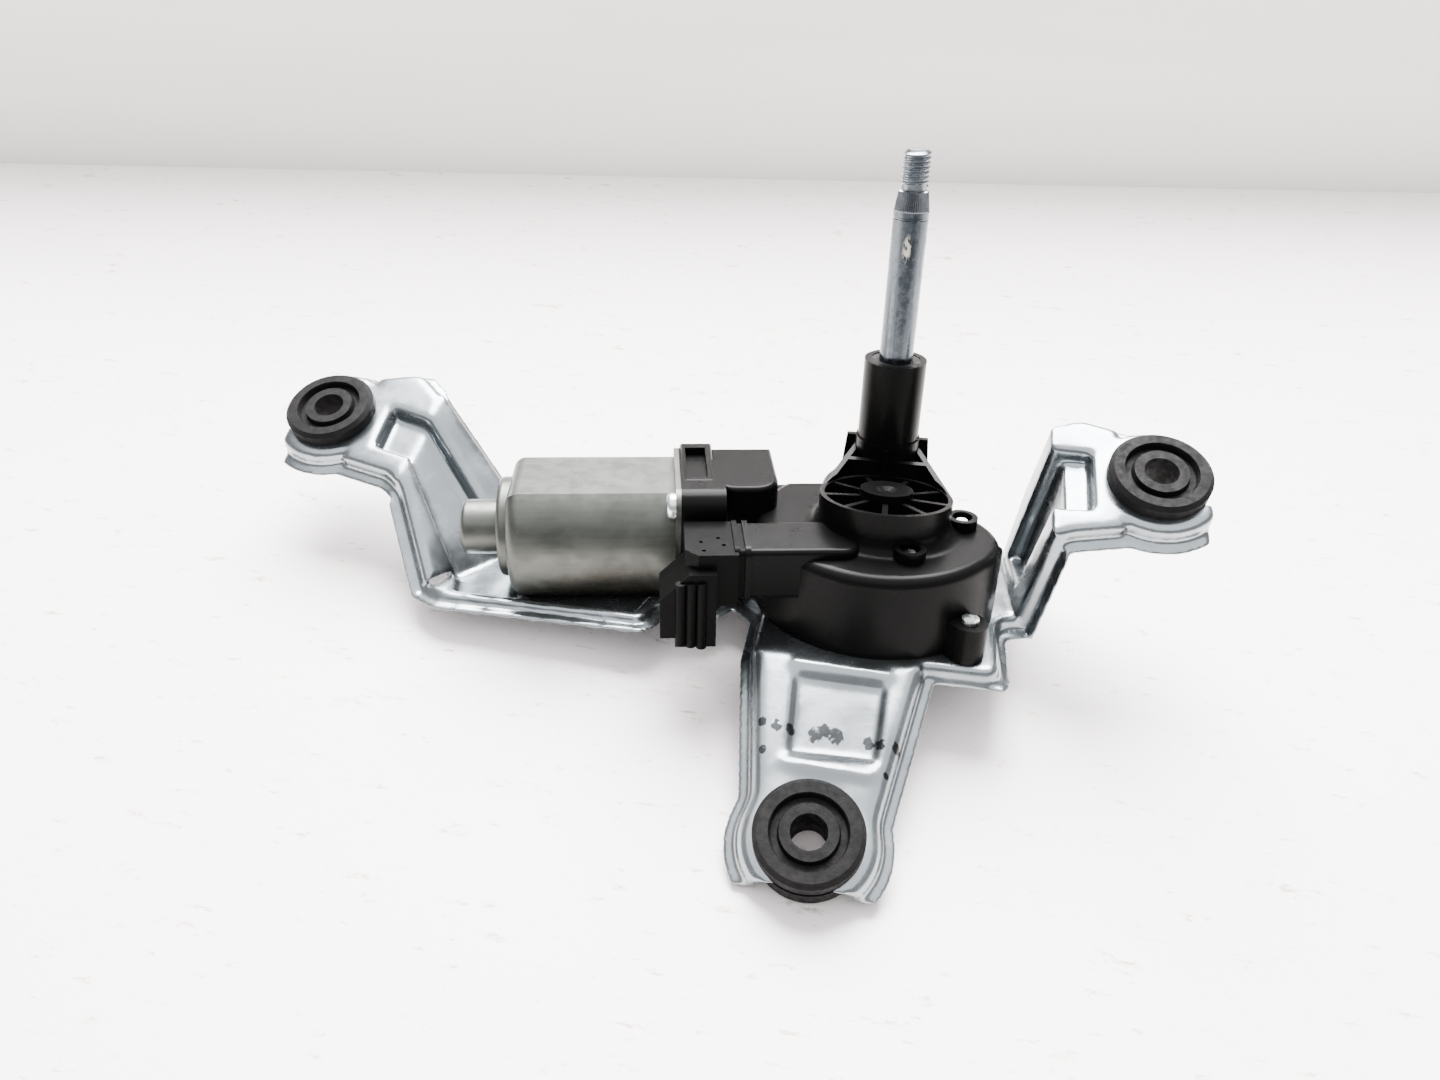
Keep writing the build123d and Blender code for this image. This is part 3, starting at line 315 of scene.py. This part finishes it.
plainLooks = {
    "bronze": ((0.5, 0.33, 0.16), 0.42), "copper": ((0.7, 0.32, 0.17), 0.3),
    "brass": ((0.72, 0.56, 0.27), 0.32), "springSteel": ((0.25, 0.25, 0.27), 0.4),
    "gearSteel": ((0.36, 0.35, 0.34), 0.42), "coreSteel": ((0.18, 0.18, 0.2), 0.45),
    "screwZinc": ((0.68, 0.7, 0.7), 0.28), "shaftSteel": ((0.45, 0.52, 0.58), 0.26),
}
metals = {name: makeMetal(name, base, roughness) for name, (base, roughness) in plainLooks.items()}
blackPlastic = makePlastic("housingPlastic", (0.0022, 0.0023, 0.0022), 0.28)
plugPlastic = makePlastic("plugPlastic", (0.0026, 0.0027, 0.0026), 0.34, gloss=0.019)
cardPlastic = makePlastic("cardPlastic", (0.16, 0.11, 0.06), 0.5)
gearPlastic = makePlastic("gearPlastic", (0.62, 0.6, 0.52), 0.3, 0.05)
boardGreen = makePlastic("boardGreen", (0.015, 0.09, 0.035), 0.3, 0.05)
ferrite = makePlastic("ferrite", (0.035, 0.035, 0.038), 0.55)
carbon = makePlastic("carbon", (0.02, 0.02, 0.02), 0.5)
shaftFinish = makeShaftFinish()
rubber = makeRubber("grommetRubber", (0.0036, 0.0034, 0.0036))
sealRubber = makeRubber("sealRubber", (0.006, 0.006, 0.006))
zincPlate = makeZinc()
canSteel = makeCan()

nodeFinish = {
    zincPlate: ["bracket"], canSteel: ["motor_can"], blackPlastic: ["gear_housing", "bottom_cover"],
    plugPlastic: ["plug_housing"], rubber: ["grommet_left", "grommet_right", "grommet_front"],
    sealRubber: ["cover_gasket", "shaft_seal"], gearPlastic: ["worm_wheel"], boardGreen: ["circuit_board"],
    cardPlastic: ["brush_holder", "thrust_washer"], ferrite: ["magnets"], carbon: ["brushes"],
    metals["screwZinc"]: ["cover_screws", "mounting_screws", "flange_screws"],
    metals["shaftSteel"]: ["output_shaft", "armature_shaft", "worm", "wheel_axle"],
    metals["gearSteel"]: ["output_gear"], metals["coreSteel"]: ["armature_core"],
    metals["copper"]: ["armature_windings", "commutator"], metals["brass"]: ["terminals"],
    metals["bronze"]: ["rear_bearing", "front_bearing", "worm_end_bearing", "lower_bush", "upper_bush"],
    metals["springSteel"]: ["brush_springs", "wheel_washer", "retaining_clip"],
}
for finish, names in nodeFinish.items():
    for name in names:
        node = frame["nodes"][name]
        node.data.materials.clear()
        node.data.materials.append(finish)
bare = set(frame["nodes"]) - {name for names in nodeFinish.values() for name in names}
print("finishes on", len(frame["nodes"]) - len(bare), "nodes, bare:", sorted(bare))

# The pressed sheet: the solid bracket's own surface, with its folds and beads softened as a press leaves
# them. The cut edges of the sheet are softened less, and all of it stays inside the part's box.
sheetLook = {"grid": 0.0005, "rounds": 56, "strength": 0.5, "thin": 0.0032, "skin": 0.0002, "edgeHold": 0.25,
             "thinned": 0.35}


def pickOnly(piece):
    bpy.ops.object.select_all(action="DESELECT")
    piece.select_set(True)
    bpy.context.view_layer.objects.active = piece


def applyModifier(piece, kind, **settings):
    pickOnly(piece)
    modifier = piece.modifiers.new(kind.lower(), kind)
    for key, value in settings.items():
        setattr(modifier, key, value)
    bpy.ops.object.modifier_apply(modifier=modifier.name)


def copyOfNode(node, name):
    piece = bpy.data.objects.new(name, frame["nodes"][node].data.copy())
    bpy.context.collection.objects.link(piece)
    pickOnly(piece)
    bpy.ops.object.mode_set(mode="EDIT")
    bpy.ops.mesh.select_all(action="SELECT")
    bpy.ops.mesh.remove_doubles(threshold=0.00001)
    bpy.ops.object.mode_set(mode="OBJECT")
    return piece


def makeSheet():
    sheet = copyOfNode("bracket", "bracketSheet")
    applyModifier(sheet, "REMESH", mode="VOXEL", voxel_size=sheetLook["grid"])
    applyModifier(sheet, "SHRINKWRAP", target=frame["nodes"]["bracket"], wrap_method="NEAREST_SURFACEPOINT")
    tree = BVHTree.FromObject(sheet, bpy.context.evaluated_depsgraph_get())
    group = sheet.vertex_groups.new(name="soft")
    edge, flat = [], []
    for vertex in sheet.data.vertices:
        through = tree.ray_cast(vertex.co - sheetLook["skin"] * vertex.normal, -vertex.normal)[3]
        (flat if through is not None and through < sheetLook["thin"] else edge).append(vertex.index)
    group.add(flat, 1.0, "REPLACE")
    group.add(edge, sheetLook["edgeHold"], "REPLACE")
    applyModifier(sheet, "SMOOTH", factor=sheetLook["strength"], iterations=sheetLook["rounds"],
                  vertex_group=group.name)
    applyModifier(sheet, "DECIMATE", decimate_type="COLLAPSE", ratio=sheetLook["thinned"])
    for vertex in sheet.data.vertices:
        vertex.co = [min(max(part, least), most) for part, least, most in zip(vertex.co, cadLow, cadHigh)]
    sheet.data.materials.clear()
    sheet.data.materials.append(zincPlate)
    pickOnly(sheet)
    bpy.ops.object.shade_smooth()
    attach(sheet, "frame")
    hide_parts("bracket")
    print("bracket sheet softened,", len(sheet.data.polygons), "faces, edge", len(edge), "flat", len(flat))


makeSheet()

# The output shaft with its thread and knurled cone, turned about its own axis. Each section is a radius
# and a height in millimetres.
shaftLook = {
    "sections": [(4.4, 18.5), (5.0, 19.1), (5.0, 61.6), (4.4, 61.6), (4.4, 62.6), (5.0, 62.6), (5.0, 107.4),
                 (4.75, 107.6), (4.75, 108.0), (5.0, 108.2), (5.0, 109.7), (4.95, 109.9), (4.2, 115.0),
                 (3.45, 115.3), (3.42, 115.9), (3.42, 125.3), (2.9, 126.0)],
    "sides": 96, "knurl": (109.8, 115.1), "knurlDepth": 0.93, "smoothAngle": math.radians(28),
    "pitch": 1.25, "turns": 7.0, "turnSteps": 48, "threadStart": 115.9, "crest": 3.98, "root": 3.4,
    "sunk": 0.2,
}
mm = 0.001


def placeInPart(piece):
    # from the shaft's own axes to the finished part, written into the mesh
    pickOnly(piece)
    piece.matrix_world = partFrame
    bpy.ops.object.transform_apply(location=True, rotation=True, scale=True)


def makeShaft():
    look = shaftLook
    sections = look["sections"]
    bpy.ops.object.select_all(action="DESELECT")
    radius, height = sections[0]
    bpy.ops.mesh.primitive_circle_add(vertices=look["sides"], radius=radius * mm, fill_type="NGON",
                                      location=(0, 0, height * mm))
    shaft = bpy.context.object
    shaft.name = "outputShaft"
    bpy.ops.object.transform_apply(location=True, rotation=True, scale=True)
    bpy.ops.object.mode_set(mode="EDIT")
    bpy.ops.mesh.select_all(action="SELECT")
    for nextRadius, nextHeight in sections[1:]:
        rise = (0, 0, (nextHeight - height) * mm)
        bpy.ops.mesh.extrude_region_move(TRANSFORM_OT_translate={"value": rise})
        grow = nextRadius / radius
        bpy.ops.transform.resize(value=(grow, grow, 1), center_override=(0, 0, nextHeight * mm))
        radius, height = nextRadius, nextHeight
    bpy.ops.mesh.select_all(action="SELECT")
    bpy.ops.mesh.normals_make_consistent(inside=False)
    bpy.ops.mesh.select_all(action="DESELECT")
    bpy.ops.object.mode_set(mode="OBJECT")
    low, high = (height * mm for height in look["knurl"])
    step = 2 * math.pi / look["sides"]
    for vertex in shaft.data.vertices:
        spoke = round(math.atan2(vertex.co.y, vertex.co.x) / step)
        vertex.select = low < vertex.co.z < high and spoke % 2 == 0
    bpy.ops.object.mode_set(mode="EDIT")
    keep = look["knurlDepth"]
    bpy.ops.transform.resize(value=(keep, keep, 1), center_override=(0, 0, 0))
    bpy.ops.object.mode_set(mode="OBJECT")
    thread = makeThread()
    pickOnly(shaft)
    thread.select_set(True)
    bpy.ops.object.join()
    pickOnly(shaft)
    bpy.ops.object.shade_smooth_by_angle(angle=look["smoothAngle"])
    placeInPart(shaft)
    shaft.data.materials.clear()
    shaft.data.materials.append(shaftFinish)
    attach(shaft, "output")
    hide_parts("output_shaft")
    print("output shaft turned,", len(shaft.data.polygons), "faces")


def makeThread():
    # one ridge of the thread as a small triangle, then swept up the shaft by a screw modifier
    look = shaftLook
    bpy.ops.object.select_all(action="DESELECT")
    bpy.ops.mesh.primitive_circle_add(vertices=3, radius=0.4 * mm, fill_type="NGON", location=(0, 0, 0))
    thread = bpy.context.object
    thread.name = "thread"
    inner = look["root"] - look["sunk"]
    corners = [(inner, 0.0), (look["crest"], look["pitch"] / 2), (inner, look["pitch"])]
    steps = int(look["turnSteps"] * look["turns"])
    for vertex, (radius, height) in zip(thread.data.vertices, corners):
        vertex.co = (radius * mm, 0, (look["threadStart"] + height) * mm)
    bpy.ops.object.mode_set(mode="EDIT")
    bpy.ops.mesh.select_all(action="SELECT")
    bpy.ops.mesh.delete(type="ONLY_FACE")
    bpy.ops.object.mode_set(mode="OBJECT")
    applyModifier(thread, "SCREW", axis="Z", angle=2 * math.pi * look["turns"],
                  screw_offset=look["turns"] * look["pitch"] * mm, steps=steps, render_steps=steps,
                  use_merge_vertices=False)
    bpy.ops.object.mode_set(mode="EDIT")
    bpy.ops.mesh.select_all(action="SELECT")
    bpy.ops.mesh.fill_holes(sides=0)
    bpy.ops.mesh.normals_make_consistent(inside=False)
    bpy.ops.object.mode_set(mode="OBJECT")
    return thread


makeShaft()

# Pale table top and a low backdrop behind it
room = {"width": 4.0, "front": -0.5, "tableBack": 0.9, "backDistance": 0.385, "backHeight": 0.24,
        "backSunk": 0.02, "backTurn": math.radians(12.6), "floor": (0.95, 0.89, 0.875),
        "floorCloud": (0.8, 0.775, 0.745), "floorDirt": (0.4, 0.33, 0.28), "back": (0.93, 0.86, 0.87),
        "backHaze": (0.66, 0.63, 0.61)}


def makeRoom():
    bpy.ops.object.select_all(action="DESELECT")
    depth = room["tableBack"] - room["front"]
    bpy.ops.mesh.primitive_plane_add(size=1, location=(0, room["front"] + depth / 2, 0))
    table = bpy.context.object
    table.name = "tableTop"
    table.scale = (room["width"], depth, 1)
    middle = room["backHeight"] / 2 - room["backSunk"]
    bpy.ops.mesh.primitive_plane_add(size=1, location=(0, room["backDistance"], middle))
    back = bpy.context.object
    back.name = "backdrop"
    back.rotation_euler = (math.radians(90), 0, room["backTurn"])
    back.scale = (room["width"], room["backHeight"], 1)
    floorFinish = Finish("tableWhite", room["floor"], 0.5, Specular_IOR_Level=0.25)
    dirt = floorFinish.ease(floorFinish.noise(3, 6, 0.75), 0.585, 0.7)
    cloud = floorFinish.ease(floorFinish.noise(160, 3), 0.3, 0.7)
    colour = floorFinish.blend(cloud * 0.35, (*room["floor"], 1), (*room["floorCloud"], 1))
    floorFinish.tint(floorFinish.blend(dirt * 0.85, colour, (*room["floorDirt"], 1)))
    table.data.materials.append(floorFinish.material)
    backFinish = Finish("backdropGrey", room["back"], 0.6, Specular_IOR_Level=0.1)
    haze = backFinish.ease(backFinish.noise(220, 2), 0.3, 0.7)
    backFinish.tint(backFinish.blend(haze * 0.3, (*room["back"], 1), (*room["backHaze"], 1)))
    # the backdrop has a front only, so that it hides nothing when the part is seen from behind
    rear = backFinish.node("ShaderNodeNewGeometry", {}, {}, "Backfacing")
    clear = backFinish.node("ShaderNodeBsdfTransparent", {}, {})
    front = Wire(backFinish, backFinish.shader.outputs[0])
    oneSided = backFinish.node("ShaderNodeMixShader", {}, {0: rear, 1: front, 2: clear})
    backFinish.fill(backFinish.tree.nodes["Material Output"].inputs["Surface"], oneSided)
    back.data.materials.append(backFinish.material)


makeRoom()
print("room built")

# Soft light from above and behind, in an evenly lit room
lamps = {
    "back": {"spot": (-0.1, 0.99, 1.18), "aim": (0, 0, 0), "size": 1.4, "power": 280.0},
    "overhead": {"spot": (0, -0.05, 1.15), "aim": (0, 0, 0), "size": 2.2, "power": 33.0},
}
for name, lamp in lamps.items():
    light = bpy.data.lights.new(name, "AREA")
    light.shape = "DISK"
    light.size = lamp["size"]
    light.energy = lamp["power"]
    holder = bpy.data.objects.new(name, light)
    bpy.context.collection.objects.link(holder)
    holder.location = lamp["spot"]
    holder.rotation_euler = (Vector(lamp["aim"]) - holder.location).to_track_quat("-Z", "Y").to_euler()
world = bpy.data.worlds.new("studio")
bpy.context.scene.world = world
world.use_nodes = True
sky = world.node_tree.nodes["Background"]
sky.inputs["Color"].default_value = (0.95, 0.97, 1.0, 1)
sky.inputs["Strength"].default_value = 0.8

# Camera at a person's eye, a little to the left of the shaft and looking down
view = {"spot": (-0.0026, -0.3081, 0.1668), "right": (0.98512, 0.17029, 0.02319),
        "up": (-0.1009, 0.46382, 0.88017), "lens": 26.28, "sensor": 36, "clip": 0.01}
camera = bpy.data.objects.new("camera", bpy.data.cameras.new("camera"))
bpy.context.collection.objects.link(camera)
camera.data.sensor_width = view["sensor"]
camera.data.lens = view["lens"]
right, up = Vector(view["right"]).normalized(), Vector(view["up"]).normalized()
aim = Matrix((right, up, right.cross(up))).transposed().to_4x4()
camera.matrix_world = partFrame @ Matrix.Translation(view["spot"]) @ aim
camera.data.clip_start = view["clip"]
bpy.context.scene.camera = camera
